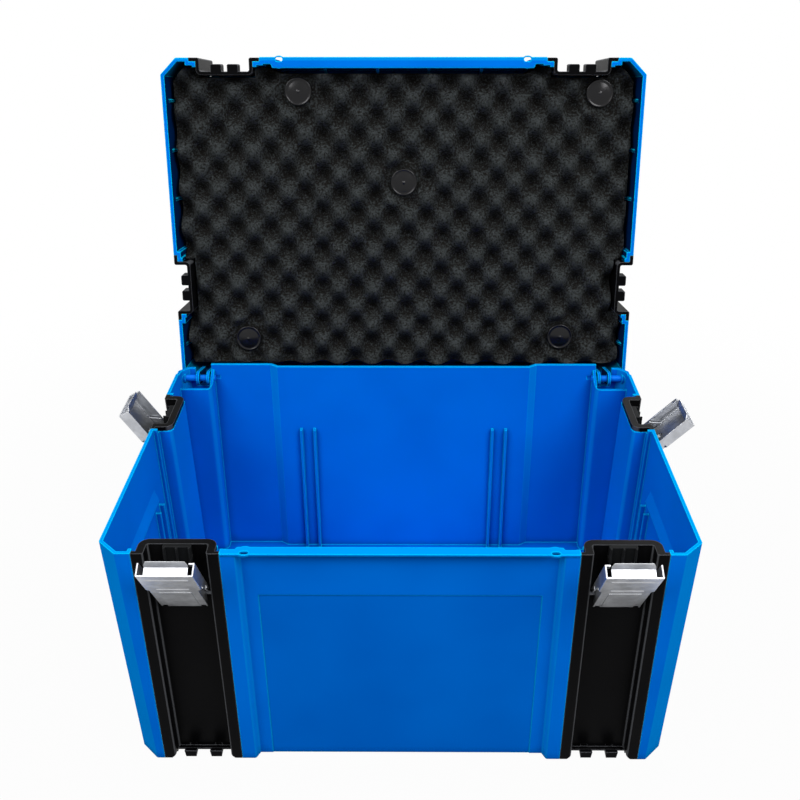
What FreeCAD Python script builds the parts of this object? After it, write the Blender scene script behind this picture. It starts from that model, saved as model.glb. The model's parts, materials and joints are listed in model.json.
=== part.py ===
import FreeCAD, Part
import math
import os

V = FreeCAD.Vector

# Stackable tool case with a hinged lid, in millimetres: +Z up, front at -Y.
# The origin is on the floor at the middle of the case, and the lid stands open.
case_width = 395.0
case_depth = 277.0
rim_height = 190.0
wall = 2.5
draft = 4.8
corner_cut = 13.0
corner_round = 2.0
swell_round = 4.0

# Front panel between the rails.
panel_recess = 5.0
panel_slope = 2.4
rail_shoulder = 10.2
label_margin = 9.6
label_below = 38.5
label_depth = 0.5
front_lip_thick = 1.6
front_lip_past = 12.0
front_lip_reach = 5.5
seal_in = 15.6
seal_hole = 1.6
seal_hole_half = 1.3
seal_hole_in = 1.3
seal_ear = 5.0
seal_inset = 3.4

# Base of the case.
plinth_height = 2.0
floor_thick = 2.0
foot_margin = 14.0
cross_half = 6.0
toe_raise = 0.6
toe_depth = 10.0

# Back wall.
back_inset = 4.0
back_corner = 7.5
back_recess = 4.5
back_slope = 6.5
back_panel_in = 87.5
back_rise = 2.0
corner_drop = 1.7

# Ribs that hold a divider.
divider_in = 23.8
divider_y = -2.0
divider_gap = 12.0
divider_rib = 2.0
divider_reach = 4.0
divider_below = 59.0

# Sloped bar inside each side wall.
bar_below = 37.0
bar_height = 13.0
bar_reach = 3.0
bar_round = 2.0
bar_from_corner = 8.0

# Hat-section rails, the same section in the case and in the lid.
rail_in = 52.2
side_rail_in = 87.5
rail_half = 28.5
channel_half = 20.25
channel_depth = 10.7
rail_wall = 2.8
rail_bend = 1.6
rail_back_bend = 4.4
seat_gap = 0.15
seat_drop = 4.0
foot_tooth_width = 9.2
foot_tooth_gap = 9.5
foot_tooth_reach = 9.8
foot_tooth_taper = 0.8
foot_tooth_thick = 3.3
foot_tooth_height = 5.5
foot_tooth_floor = 0.5
foot_ledge = 3.1
foot_ledge_thick = 1.2
foot_chamfer = 3.0
slot_width = 5.0
slot_height = 2.2
slot_above = 0.2

# Hinge pockets in the back corners.
hinge_inset = 9.0
hinge_below = 10.0
hinge_pin_radius = 2.9
hinge_run = 0.06
hinge_press = 0.03
column_width = 30.5
column_depth = 17.0
column_round = 5.0
pocket_under = 15.0
sill_under = 4.0
pocket_round = 5.0
slot_in = 14.0
slot_under = 8.3
web_below = 5.0
boss_length = 3.0
boss_radius = 4.4
ear_thick = 2.5
ear_steps = (3.5, 12.5)
ear_radius = 6.2
ear_rise = 15.0
lid_open = 99.7

# Lid.
lid_height = 59.5
lid_gap = 0.5
lid_wall = 3.0
lid_draft = 2.0
lid_lip_thick = 2.0
catch_tooth_width = 8.9
catch_tooth_gap = 4.6
catch_tooth_reach = 5.7
catch_tooth_height = 11.5
rib_thick = 2.0
rib_reach = 4.5
rib_height = 20.0
rib_setback = 2.0
front_rib_x = (21.1, 64.3)
side_rib_front = (33.9, 74.2, 114.6)
side_rib_back = 34.6

# Carrying handle, folded flat in a well in the lid's top.
well_half = 85.0
well_front = -18.0
well_back = 44.0
well_deep = 17.0
handle_pivot_y = -10.0
handle_pivot_drop = 9.0
handle_span = 42.0
handle_arm = 10.0
handle_side_gap = 3.0
handle_thick = 11.0
handle_round = 4.0
handle_eye = 6.0
handle_pin_radius = 3.0
handle_run = 0.06

# Egg-crate foam in the lid and the buttons that hold it.
foam_behind = 0.3
foam_base = 17.7
foam_relief = 16.0
foam_pitch_x = 30.0
foam_pitch_y = 32.0
foam_gap = 2.6
foam_front_gap = 3.2
foam_back_gap = 14.0
foam_corner_share = 0.9
foam_back_corner = 3.0
foam_clear = 0.8
button_radius = 11.3
button_thick = 2.0
button_dome = 2.5
button_sink = 14.0
button_stem = 4.0
button_grip = 7.0
button_post = 8.0
button_front_left = (110.3, 26.6)
button_front_right = (34.8, 27.9)
button_middle = (0.4, 20.0)
button_back_left = (58.9, 39.1)
button_back_right = (58.1, 41.0)

# Swing latches, one in each rail.
latch_pivot_in = 7.5
latch_pivot_below = 37.0
front_left_open = 34.5
front_right_open = 35.0
left_open = 33.0
right_open = 44.0
latch_pin_radius = 1.5
latch_run = 0.05
latch_press = 0.03
sheet = 1.0
lever_inset = 1.0
lever_half = 18.0
lever_root_half = 15.75
lever_below = 11.4
lever_rise = 54.0
lever_step = 24.0
lever_flange = 9.2
lever_wing = 2.0
lever_tab = 3.7
lever_tab_height = 4.5
lever_hole = 1.5
lever_hole_rise = 13.0
lever_hole_in = 3.4
lever_eye = 2.7
lever_bend = 0.8
lever_ridges = ((46.0, 13.5), (27.0, 10.5), (3.0, 8.5))
lever_ridge_radius = 1.2
lever_ridge_proud = 0.35
lever_field_half = 10.5
lever_field_top = 20.5
lever_field_proud = 0.3
lever_tongue_half = 11.2
lever_notch = 2.6
hook_gap = 0.1
hook_half = 13.85
hook_over = 1.5
hook_reach = 8.2
hook_flat = 5.6
hook_lip = 4.2
hook_below = 5.0
hook_hole = 2.5
hook_corner = 1.6
block_half = 9.25
block_below = 12.0
block_depth = 3.4
block_rib = 1.0
block_rib_reach = 2.0
block_rib_places = (-8.25, 0.0, 8.25)
block_pin_radius = 1.0
block_pin_rise = 3.5
block_pin_in = 9.3

# Places worked out from the sizes above.
half_width = case_width / 2
front_y = -case_depth / 2
lid_back_y = case_depth / 2
back_y = lid_back_y - back_inset
back_top = rim_height + back_rise
hinge_y = lid_back_y - hinge_inset
hinge_z = rim_height - hinge_below
floor_top = plinth_height + floor_thick
rail_x = half_width - rail_in
side_rail_y = lid_back_y - side_rail_in
panel_half = rail_x - rail_half - rail_shoulder - panel_slope
label_half = panel_half - label_margin
label_top = rim_height - label_below
front_lip_half = panel_half + front_lip_past
seal_x = front_lip_half - seal_in
back_panel_half = half_width - back_panel_in
divider_x = back_panel_half - divider_in
divider_top = rim_height - divider_below
column_x = half_width - column_width
slot_x = half_width - slot_in
pocket_floor = hinge_z - pocket_under
pocket_sill = hinge_z - sill_under
ear_places = [column_x + step for step in ear_steps]
side_rib_y = [front_y + gap for gap in side_rib_front] + [lid_back_y - side_rib_back]
lid_base = rim_height + lid_gap
lid_top = lid_base + lid_height
channel_outer = channel_half + rail_wall
rail_deep = channel_depth + rail_wall
well_floor = lid_top - well_deep
foam_back_y = lid_back_y - lid_wall - foam_back_gap
foam_back = well_floor - lid_wall - foam_behind
foam_inset = lid_wall + lid_draft * (foam_back - lid_base) / lid_height
foam_half = half_width - foam_inset - foam_gap
foam_corner = corner_cut * foam_corner_share
foam_valley = foam_back - foam_base
foam_peak = foam_valley - foam_relief
button_seat = foam_peak + button_sink - button_dome - button_thick
button_places = [
    (button_front_left[0] - half_width, front_y + button_front_left[1]),
    (half_width - button_front_right[0], front_y + button_front_right[1]),
    (button_middle[0], well_front - button_middle[1]),
    (button_back_left[0] - half_width, lid_back_y - button_back_left[1]),
    (half_width - button_back_right[0], lid_back_y - button_back_right[1]),
]
tooth_top = lid_base + catch_tooth_height
hook_under = tooth_top + hook_over
latch_pivot_z = rim_height - latch_pivot_below
lever_bottom = latch_pivot_z - lever_below
lever_top = latch_pivot_z + lever_rise
lever_step_z = latch_pivot_z + lever_step
hook_foot = latch_pivot_z - hook_below
block_bottom = rim_height - block_below
block_pin_z = block_bottom + block_pin_rise
block_pin_half = block_half
latch_open = {"front_left": front_left_open, "front_right": front_right_open,
              "left": left_open, "right": right_open}
past = 5.0


def case_inset(z):
    """Draft of the case: how far its walls stand inside the rim at height z."""
    return draft * (1 - z / rim_height)


def lid_inset(z):
    """Draft of the lid, from its open rim up to its top."""
    return lid_draft * (z - lid_base) / lid_height


def lift(points, z):
    return [V(x, y, z) for x, y in points]


def solid_between(lower, upper):
    """Solid with flat faces between two outlines that have parallel sides."""
    faces = [Part.Face(Part.makePolygon(ring + ring[:1])) for ring in (lower[::-1], upper)]
    count = len(lower)
    for i in range(count):
        j = (i + 1) % count
        side = [lower[i], lower[j], upper[j], upper[i], lower[i]]
        faces.append(Part.Face(Part.makePolygon(side)))
    return closed_solid(faces)


def closed_solid(faces):
    """Solid inside a set of faces that meet edge to edge."""
    shell = Part.makeShell(faces)
    shell.sewShape()
    solid = Part.Solid(shell.Shells[0])
    if solid.Volume < 0:
        solid.reverse()
    return solid


def box(x0, x1, y0, y1, z0, z1):
    return Part.makeBox(x1 - x0, y1 - y0, z1 - z0, V(x0, y0, z0))


def rod(start, axis, radius, length):
    return Part.makeCylinder(radius, length, start, axis)


def profile_x(points, x0, x1):
    """Outline in the YZ plane, pushed along X from x0 to x1."""
    ring = [V(x0, y, z) for y, z in points]
    return Part.Face(Part.makePolygon(ring + ring[:1])).extrude(V(x1 - x0, 0, 0))


def profile_y(points, y0, y1):
    """Outline in the XZ plane, pushed along Y from y0 to y1."""
    ring = [V(x, y0, z) for x, z in points]
    return Part.Face(Part.makePolygon(ring + ring[:1])).extrude(V(0, y1 - y0, 0))


def mirrored(shape):
    return shape.mirror(V(0, 0, 0), V(1, 0, 0))


def both_sides(shape):
    return [shape, mirrored(shape)]


def inset_outline(points, distance):
    """Outline moved inwards by a wall thickness, with sharp corners."""
    moved = []
    count = len(points)
    for i, (x, y) in enumerate(points):
        before = points[i - 1]
        after = points[(i + 1) % count]
        a = V(x - before[0], y - before[1], 0).normalize()
        b = V(after[0] - x, after[1] - y, 0).normalize()
        turn = 1 + a.dot(b)
        moved.append((x - (a.y + b.y) * distance / turn, y + (a.x + b.x) * distance / turn))
    return moved


def rail_seat():
    """Recess that takes a rail: distance along the wall and depth below its face."""
    lip = rail_half + seat_gap
    neck = channel_outer + seat_gap
    shallow = rail_wall + seat_gap
    deep = rail_deep + seat_gap
    half = [(lip, 0), (lip, shallow), (neck, shallow), (neck, deep)]
    return [(-s, d) for s, d in half] + [(s, d) for s, d in reversed(half)]


def half_outline(inset):
    """Right half of the plan, from the front panel round to the back end of the side."""
    side = half_width - inset
    front = front_y + inset
    points = [(panel_half, front + panel_recess), (panel_half + panel_slope, front)]
    points += [(rail_x + s, front + d) for s, d in rail_seat()]
    points += [(side - corner_cut, front), (side, front + corner_cut)]
    points += [(side - d, side_rail_y + s) for s, d in rail_seat()]
    return points


def whole(half):
    return half + [(-x, y) for x, y in reversed(half)]


def case_outline(z):
    inset = case_inset(z)
    side = half_width - inset
    back = back_y - inset
    half = half_outline(inset)
    half += [(side, back - back_corner), (side - back_corner, back)]
    half += [(back_panel_half + back_slope, back), (back_panel_half, back - back_recess)]
    return whole(half)


def lid_outline(z):
    inset = lid_inset(z)
    side = half_width - inset
    back = lid_back_y - inset
    half = half_outline(inset)
    half += [(side, back - corner_cut), (side - corner_cut, back)]
    return whole(half)


def soft_corners(solid, z, corners, radius):
    """Round the upright edges that pass through these corners of the right half, and their mirror images."""
    edges = []
    for e in solid.Edges:
        top = max((v.Point for v in e.Vertexes), key=lambda p: p.z)
        if e.BoundBox.ZLength > z / 10 and any(abs(abs(top.x) - x) + abs(top.y - y) < 0.01 for x, y in corners):
            edges.append(e)
    return solid.makeFillet(radius, edges)


def front_corners(inset):
    """Corners of the front panel's bevels and of the cut front corners."""
    half = half_outline(inset)
    cut = len(rail_seat()) + 2
    return half[:2] + half[cut:cut + 2]


def seal_lip(face_y, z0, z1):
    """Flange along the front edge with an ear and an oval wire hole at each end."""
    lip = box(-front_lip_half, front_lip_half, face_y - front_lip_reach, face_y, z0, z1)
    for x in (-seal_x, seal_x):
        lip = lip.fuse(rod(V(x, front_y + seal_inset, z0), V(0, 0, 1), seal_ear, z1 - z0))
    y = front_y + seal_hole_in
    holes = []
    for x in (-seal_x, seal_x):
        for end in (x - seal_hole_half, x + seal_hole_half):
            holes.append(rod(V(end, y, z0 - past), V(0, 0, 1), seal_hole, z1 - z0 + 2 * past))
        holes.append(box(x - seal_hole_half, x + seal_hole_half, y - seal_hole, y + seal_hole,
                         z0 - past, z1 + past))
    return lip.cut(holes)


def divider_ribs():
    """Two pairs of ribs on the back wall and one pair on each side wall."""
    ribs = []
    low = case_inset(floor_top)
    high = case_inset(divider_top)
    for middle in (-divider_x, divider_x):
        for x in (middle - divider_gap / 2, middle + divider_gap / 2):
            rings = []
            for z, inset in ((plinth_height, low), (divider_top, high)):
                y = back_y - back_recess - wall - inset
                x0 = x - divider_rib / 2
                x1 = x + divider_rib / 2
                ring = [(x0, y - divider_reach), (x1, y - divider_reach), (x1, y + wall / 2), (x0, y + wall / 2)]
                rings.append(lift(ring, z))
            ribs.append(solid_between(rings[0], rings[1]))
    for y in (divider_y - divider_gap / 2, divider_y + divider_gap / 2):
        rings = []
        for z, inset in ((plinth_height, low), (divider_top, high)):
            x = half_width - wall - inset
            y0 = y - divider_rib / 2
            y1 = y + divider_rib / 2
            ring = [(x - divider_reach, y0), (x + wall / 2, y0), (x + wall / 2, y1), (x - divider_reach, y1)]
            rings.append(lift(ring, z))
        ribs += both_sides(solid_between(rings[0], rings[1]))
    return ribs


def side_bar():
    """Bar inside the right wall with a sloped face, from the front corner back to the divider."""
    z1 = rim_height - bar_below
    z0 = z1 - bar_height
    bottom = z0 - bar_reach
    ring = [(half_width - case_inset(z1) - wall / 2, z1), (half_width - case_inset(z0) - wall - bar_reach, z0),
            (half_width - case_inset(bottom) - wall / 2, bottom)]
    bar = profile_y(ring, front_y + corner_cut + bar_from_corner, divider_y)
    end = []
    for e in bar.Edges:
        b = e.BoundBox
        if b.YMin > divider_y - 0.01 and b.ZLength > bar_height / 2 and b.XLength > bar_reach / 2:
            end.append(e)
    return bar.makeFillet(bar_round, end)


def hinge_corner_cuts():
    """Pocket for the hinge in one back corner, with its sill, slot and hollow below."""
    room = corner_room()
    inner_x = half_width - wall
    column_front = back_y - wall - column_depth
    pocket_front = column_front + wall
    pocket_back = back_y - wall
    pocket = box(column_x + wall, inner_x, pocket_front, pocket_back, pocket_floor, back_top + past).common(room)
    slope = [(column_front - past, pocket_sill), (pocket_front, pocket_sill)]
    slope += [(pocket_back, back_top - past), (pocket_back, back_top + past), (column_front - past, back_top + past)]
    sill = profile_x(slope, column_x - seat_gap, inner_x).common(room)
    rounded = [e for e in sill.Edges if abs(e.BoundBox.ZMax - pocket_sill) < 0.01 and e.BoundBox.XMax < column_x]
    sill = sill.makeFillet(pocket_round, rounded)
    slot = box(column_x + wall, slot_x, pocket_back - past, back_y + past, hinge_z - slot_under, back_top + past)
    drop = box(column_x + wall, half_width + past, pocket_front, back_y + past,
               rim_height - corner_drop, back_top + past)
    hollow = box(column_x + wall, half_width, pocket_front, back_y, -past, pocket_floor - web_below).common(room)
    return [pocket, sill, slot, drop, hollow]


def base_cuts():
    """Hollows under the floor and the raised front edge between the rails."""
    cuts = []
    limit_x = half_width - draft - rail_deep - foot_margin
    limit_front = front_y + draft + rail_deep + foot_margin
    limit_back = back_y - draft - column_depth - foot_margin
    for y0, y1 in ((limit_front, -cross_half), (cross_half, limit_back)):
        cuts += both_sides(box(cross_half, limit_x, y0, y1, -past, plinth_height))
    toe = front_y + draft + panel_recess + toe_depth
    cuts.append(box(-panel_half, panel_half, front_y - past, toe, -past, toe_raise))
    foot = front_y + draft + rail_deep + toe_depth
    for x in (-rail_x, rail_x):
        cuts.append(box(x - channel_half, x + channel_half, front_y - past, foot, -past, plinth_height))
    foot_x = half_width - draft - rail_deep - toe_depth
    cuts += both_sides(box(foot_x, half_width + past, side_rail_y - channel_half, side_rail_y + channel_half,
                           -past, plinth_height))
    return cuts


def seat_cuts():
    """Lower rim behind each rail, so that the rail's own top edge closes the wall."""
    reach = rail_half + seat_gap
    deep = rail_deep + wall + past
    z0 = rim_height - seat_drop
    z1 = back_top + past
    cuts = [box(x - reach, x + reach, front_y - past, front_y + deep, z0, z1) for x in (-rail_x, rail_x)]
    side = box(half_width - deep, half_width + past, side_rail_y - reach, side_rail_y + reach, z0, z1)
    return cuts + both_sides(side)


def label_cut():
    """Shallow flat field on the front panel, following the slope of the wall."""
    rings = []
    for z in (toe_raise, label_top):
        face = front_y + panel_recess + case_inset(z)
        ring = [(-label_half, face - past), (label_half, face - past),
                (label_half, face + label_depth), (-label_half, face + label_depth)]
        rings.append(lift(ring, z))
    return solid_between(rings[0], rings[1])


def case_block():
    """Outside of the case as one solid."""
    block = solid_between(lift(case_outline(0), 0), lift(case_outline(back_top), back_top))
    inset = case_inset(back_top)
    side = half_width - inset
    back = back_y - inset
    corners = front_corners(inset) + [(side, back - back_corner), (side - back_corner, back)]
    return soft_corners(block, back_top, corners, corner_round)


def corner_room():
    """Everything inside the case's outer walls, which keeps the corner hollows from breaking out."""
    low = -past
    high = back_top + past
    return solid_between(lift(inset_outline(case_outline(low), wall), low),
                         lift(inset_outline(case_outline(high), wall), high))


def make_body_shell():
    outer = case_block()
    high = back_top + past
    cavity = solid_between(lift(inset_outline(case_outline(floor_top), wall), floor_top),
                           lift(inset_outline(case_outline(high), wall), high))
    seats = len(rail_seat())
    inner = inset_outline(case_outline(high), wall)
    swells = [inner[i] for first in (2, 2 + seats + 2) for i in (first + seats // 2 - 1, first + seats // 2)]
    cavity = soft_corners(cavity, high, swells, swell_round)
    column = box(column_x, half_width, back_y - wall - column_depth, back_y, plinth_height, back_top)
    corner = [e for e in column.Edges if e.BoundBox.ZLength > high / 2 and e.BoundBox.XMax < half_width - 1
              and e.BoundBox.YMax < back_y - wall]
    column = column.makeFillet(column_round, corner)
    shell = outer.cut(cavity)
    shell = shell.fuse([outer.common(c) for c in both_sides(column)] + divider_ribs() + both_sides(side_bar()))
    rim_end = back_y - wall - column_depth + wall
    shell = shell.cut(box(-case_width, case_width, front_y - past, rim_end, rim_height, high + past))
    cuts = []
    for cut in hinge_corner_cuts():
        cuts += both_sides(cut)
    shell = shell.cut(cuts + base_cuts() + seat_cuts() + [label_cut()])
    boss = rod(V(half_width - wall - boss_length, hinge_y, hinge_z), V(1, 0, 0), boss_radius,
               boss_length + wall / 2)
    boss = boss.common(outer)
    panel_face = front_y + panel_recess
    shell = shell.fuse(both_sides(boss) + [seal_lip(panel_face, rim_height - front_lip_thick, rim_height)])
    hole = rod(V(column_x - past, hinge_y, hinge_z), V(1, 0, 0), hinge_pin_radius + hinge_press,
               half_width - wall - column_x + past)
    return shell.cut(both_sides(hole)).removeSplitter()


def make_hinge_pin():
    start = column_x - ear_thick / 2
    pin = rod(V(start, hinge_y, hinge_z), V(1, 0, 0), hinge_pin_radius, half_width - wall - start)
    return pin.makeChamfer(hinge_pin_radius / 4, [e for e in pin.Edges if e.Closed])


def rail_section(z):
    """Hat section in the rail's own frame: x along the wall, y inwards from its face."""
    ring = [(-rail_half, 0), (-channel_half, 0), (-channel_half, channel_depth), (channel_half, channel_depth),
            (channel_half, 0), (rail_half, 0), (rail_half, rail_wall), (channel_outer, rail_wall),
            (channel_outer, rail_deep), (-channel_outer, rail_deep), (-channel_outer, rail_wall),
            (-rail_half, rail_wall)]
    return lift(ring, z)


def hat_rail(z0, z1, inset0, inset1):
    ring = [p + V(0, inset0, 0) for p in rail_section(z0)]
    rail = Part.Face(Part.makePolygon(ring + ring[:1])).extrude(V(0, inset1 - inset0, z1 - z0))
    mouth = []
    for e in rail.Edges:
        bounds = e.BoundBox
        tall = bounds.ZLength > (z1 - z0) / 2
        at_mouth = abs(abs(bounds.XMax) - channel_half) < 0.01 and bounds.YMax < channel_depth / 2
        if tall and at_mouth:
            mouth.append(e)
    rail = rail.makeFillet(rail_bend, mouth)
    back = []
    for e in rail.Edges:
        b = e.BoundBox
        tall = b.ZLength > (z1 - z0) / 2
        if tall and abs(abs(b.XMax) - channel_outer) + b.XLength < 0.01 and b.YMin > channel_depth:
            back.append(e)
    rail = rail.makeFillet(rail_back_bend, back)
    inside = []
    for e in rail.Edges:
        b = e.BoundBox
        tall = b.ZLength > (z1 - z0) / 2
        if tall and abs(abs(b.XMax) - channel_half) + b.XLength < 0.01 and b.YMax > channel_depth - 0.01:
            inside.append(e)
    return rail.makeFillet(rail_bend, inside)


def tooth_places(width, gap):
    step = (width + gap) / 2
    return (-step, step)


def rail_cap():
    """Thicker band round the top of the channel, which sits on the lowered rim and hides it."""
    thick = wall + seat_gap
    z0 = rim_height - seat_drop + seat_gap
    half = channel_outer + thick
    band = box(-half, half, rail_wall / 2, rail_deep + thick, z0, rim_height)
    corners = []
    for e in band.Edges:
        if e.BoundBox.ZLength > seat_drop / 2 and e.BoundBox.YMin > rail_deep:
            corners.append(e)
    band = band.makeFillet(rail_back_bend + thick, corners)
    core = channel_outer - rail_wall / 2
    return band.cut(box(-core, core, -past, rail_deep - rail_wall / 2, z0 - past, rim_height + past))


def make_rail():
    """Rail of the case, with a ledge and two stacking teeth at its foot and a slot above each."""
    foot = case_inset(0)
    rail = hat_rail(0, rim_height, foot, 0)
    back = channel_depth + foot
    c = channel_half + foot_chamfer
    wedge = [(-c, -past), (c, -past), (c, 0), (channel_half, foot_chamfer), (-channel_half, foot_chamfer), (-c, 0)]
    rail = rail.cut(profile_y(wedge, -past, channel_depth))
    low = foot_tooth_floor
    step = low + foot_ledge_thick
    top = low + foot_tooth_height
    behind = back + rail_wall / 2
    pieces = [rail_cap(), box(-channel_half, channel_half, back - foot_ledge, behind, low, step)]
    slots = []
    for x in tooth_places(foot_tooth_width, foot_tooth_gap):
        w = foot_tooth_width / 2
        t = w - foot_tooth_taper
        y0 = back - foot_tooth_reach
        y1 = y0 + foot_tooth_thick
        hook = [(y0, low), (behind, low), (behind, step), (y1, step), (y1, top), (y0, top)]
        sides = [(x - t, low), (x + t, low), (x + w, top), (x - w, top)]
        pieces.append(profile_x(hook, x - w, x + w).common(profile_y(sides, y0 - past, behind + past)))
        z = step + slot_above
        slots.append(box(x - slot_width / 2, x + slot_width / 2, back - slot_height, rail_deep + foot + past,
                         z, z + slot_height))
    rail = rail.fuse(pieces).cut(slots)
    bore = latch_pin_radius + latch_press
    hole = rod(V(-rail_half, latch_pivot_in, latch_pivot_z), V(1, 0, 0), bore, 2 * rail_half)
    return rail.cut(hole).removeSplitter()


def make_catch():
    """Catch of the lid: the same section, with the two teeth that the latch grips."""
    catch = hat_rail(lid_base, lid_top, 0, lid_draft)
    teeth = []
    for x in tooth_places(catch_tooth_width, catch_tooth_gap):
        w = catch_tooth_width / 2
        tooth = box(x - w, x + w, channel_depth - catch_tooth_reach, channel_depth + rail_wall / 2,
                    lid_base, tooth_top)
        edges = [e for e in tooth.Edges if e.BoundBox.ZLength > 1 and e.BoundBox.YMax < channel_depth]
        teeth.append(tooth.makeFillet(rail_bend * 0.9, edges))
    return catch.fuse(teeth).removeSplitter()


def make_block():
    """Black block at the top of a rail with three upright ribs on its face."""
    face = channel_depth - block_depth
    rings = []
    for z in (block_bottom, rim_height):
        back = channel_depth + case_inset(z)
        rings.append(lift([(-block_half, face), (block_half, face), (block_half, back), (-block_half, back)], z))
    block = solid_between(rings[0], rings[1])
    ribs = []
    for x in block_rib_places:
        ribs.append(box(x - block_rib / 2, x + block_rib / 2, face - block_rib_reach, face + block_rib,
                        block_bottom, rim_height))
    block = block.fuse(ribs)
    bore = block_pin_radius + latch_press
    hole = rod(V(-block_pin_half, block_pin_in, block_pin_z), V(1, 0, 0), bore, 2 * block_pin_half)
    return block.cut(hole).removeSplitter()


def make_block_pin():
    return rod(V(-block_pin_half, block_pin_in, block_pin_z), V(1, 0, 0), block_pin_radius, 2 * block_pin_half)


def make_pivot_pin():
    start = V(-channel_outer, latch_pivot_in, latch_pivot_z)
    return rod(start, V(1, 0, 0), latch_pin_radius, 2 * channel_outer)


def pivot_bore():
    start = V(-rail_half, latch_pivot_in, latch_pivot_z)
    return rod(start, V(1, 0, 0), latch_pin_radius + latch_run, 2 * rail_half)


def pivot_eye(x0, x1):
    return rod(V(x0, latch_pivot_in, latch_pivot_z), V(1, 0, 0), lever_eye, x1 - x0)


def make_lever(side):
    """Folded steel cover of the latch, upright as when it is shut, with a tab on the flange of one side."""
    face = lever_inset
    inner = face + sheet
    slope = lever_half - lever_root_half
    outline = [(-lever_root_half, lever_bottom), (lever_root_half, lever_bottom), (lever_root_half, lever_step_z),
               (lever_half, lever_step_z + slope), (lever_half, lever_top), (-lever_half, lever_top),
               (-lever_half, lever_step_z + slope), (-lever_root_half, lever_step_z)]
    lever = profile_y(outline, face, inner)
    flange_end = face + lever_flange
    wing_z = latch_pivot_z + lever_wing
    upper = [(face, lever_step_z + slope), (face + lever_flange / 3, lever_step_z + slope),
             (flange_end - lever_flange / 3, wing_z), (flange_end, wing_z), (flange_end, lever_top - sheet),
             (face, lever_top)]
    eye_back = latch_pivot_in + lever_eye
    lower = [(face, lever_bottom), (inner, lever_bottom), (latch_pivot_in - sheet, latch_pivot_z - lever_eye),
             (eye_back, latch_pivot_z), (eye_back, lever_step_z), (inner, lever_step_z + 3 * slope),
             (face, lever_step_z + 3 * slope)]
    pieces = both_sides(profile_x(upper, lever_half - sheet, lever_half))
    pieces += both_sides(profile_x(lower, lever_root_half - sheet, lever_root_half))
    tab = box(lever_half - lever_tab, lever_half, flange_end - sheet, flange_end,
              lever_top - sheet - lever_tab_height, lever_top - sheet)
    pieces.append(tab if side > 0 else mirrored(tab))
    pieces += both_sides(pivot_eye(lever_root_half - sheet, lever_root_half))
    field_bottom = lever_bottom + lever_notch
    pieces.append(box(-lever_field_half, lever_field_half, face - lever_field_proud, inner,
                      field_bottom, latch_pivot_z + lever_field_top))
    for rise, half in lever_ridges:
        start = V(-half, face + lever_ridge_radius - lever_ridge_proud, latch_pivot_z + rise)
        ridge = rod(start, V(1, 0, 0), lever_ridge_radius, 2 * half)
        pieces.append(ridge.common(box(-lever_half, lever_half, 0, inner, lever_bottom, lever_top)))
    notch = box(lever_tongue_half, lever_root_half - sheet, face - past, inner, lever_bottom - past, field_bottom)
    hole = rod(V(-lever_half - past, flange_end - lever_hole_in, latch_pivot_z + lever_hole_rise), V(1, 0, 0),
               lever_hole, 2 * (lever_half + past))
    lever = lever.fuse(pieces).cut([pivot_bore(), hole] + both_sides(notch)).removeSplitter()
    bends = []
    for e in lever.Edges:
        b = e.BoundBox
        at_face = abs(b.YMax - face) + abs(b.YMin - face) < 0.01
        if at_face and abs(abs(b.XMax) - lever_half) + b.XLength < 0.01:
            bends.append(e)
    return lever.makeFillet(lever_bend, bends)


def make_hook():
    """Steel hook plate inside the cover, with a flange that reaches over the lid's teeth and turns up."""
    face = lever_inset + sheet + hook_gap
    back = face + sheet
    top = hook_under + sheet
    plate = box(-hook_half, hook_half, face, back, hook_foot, top)
    bend = face + hook_flat
    tip = face + hook_reach
    under = [(face, hook_under), (bend, hook_under), (tip, hook_under + hook_lip)]
    over = [(tip, top + hook_lip), (bend, top), (face, top)]
    flange = profile_x(under + over, -hook_half, hook_half)
    arm_end = latch_pivot_in + lever_eye
    arm = [(face, hook_foot), (back, hook_foot), (latch_pivot_in - sheet, latch_pivot_z - lever_eye),
           (arm_end, latch_pivot_z), (arm_end, latch_pivot_z + lever_eye), (back, latch_pivot_z + 3 * lever_eye),
           (face, latch_pivot_z + 3 * lever_eye)]
    pieces = [flange] + both_sides(profile_x(arm, hook_half - sheet, hook_half))
    pieces += both_sides(pivot_eye(hook_half - sheet, hook_half))
    window = rod(V(0, face - past, (latch_pivot_z + hook_under) / 2), V(0, 1, 0), hook_hole, 3 * past)
    wide = hook_half + past
    far = tip + past
    ring = [(wide, tip - hook_corner - past), (wide, far), (hook_half - hook_corner - past, far)]
    corner = solid_between(lift(ring, hook_under - past), lift(ring, top + hook_lip + past))
    hook = plate.fuse(pieces).cut([pivot_bore(), window] + both_sides(corner)).removeSplitter()
    fold = []
    for e in hook.Edges:
        b = e.BoundBox
        if abs(b.ZMin - top) + b.ZLength + abs(b.YMax - face) + b.YLength < 0.01:
            fold.append(e)
    return hook.makeFillet(lever_bend, fold)


def lid_ear(x):
    """Hinge ear of the lid: a plate from the pin up to the lid's back wall."""
    back = lid_back_y - lid_wall / 2
    plate = [(hinge_y - ear_radius, hinge_z), (hinge_y - ear_radius / 2, lid_base + ear_rise),
             (back, lid_base + ear_rise), (back, lid_base), (hinge_y + ear_radius * 0.8, hinge_z - ear_radius * 0.6)]
    ear = profile_x(plate, x, x + ear_thick)
    return ear.fuse(rod(V(x, hinge_y, hinge_z), V(1, 0, 0), ear_radius, ear_thick))


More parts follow.
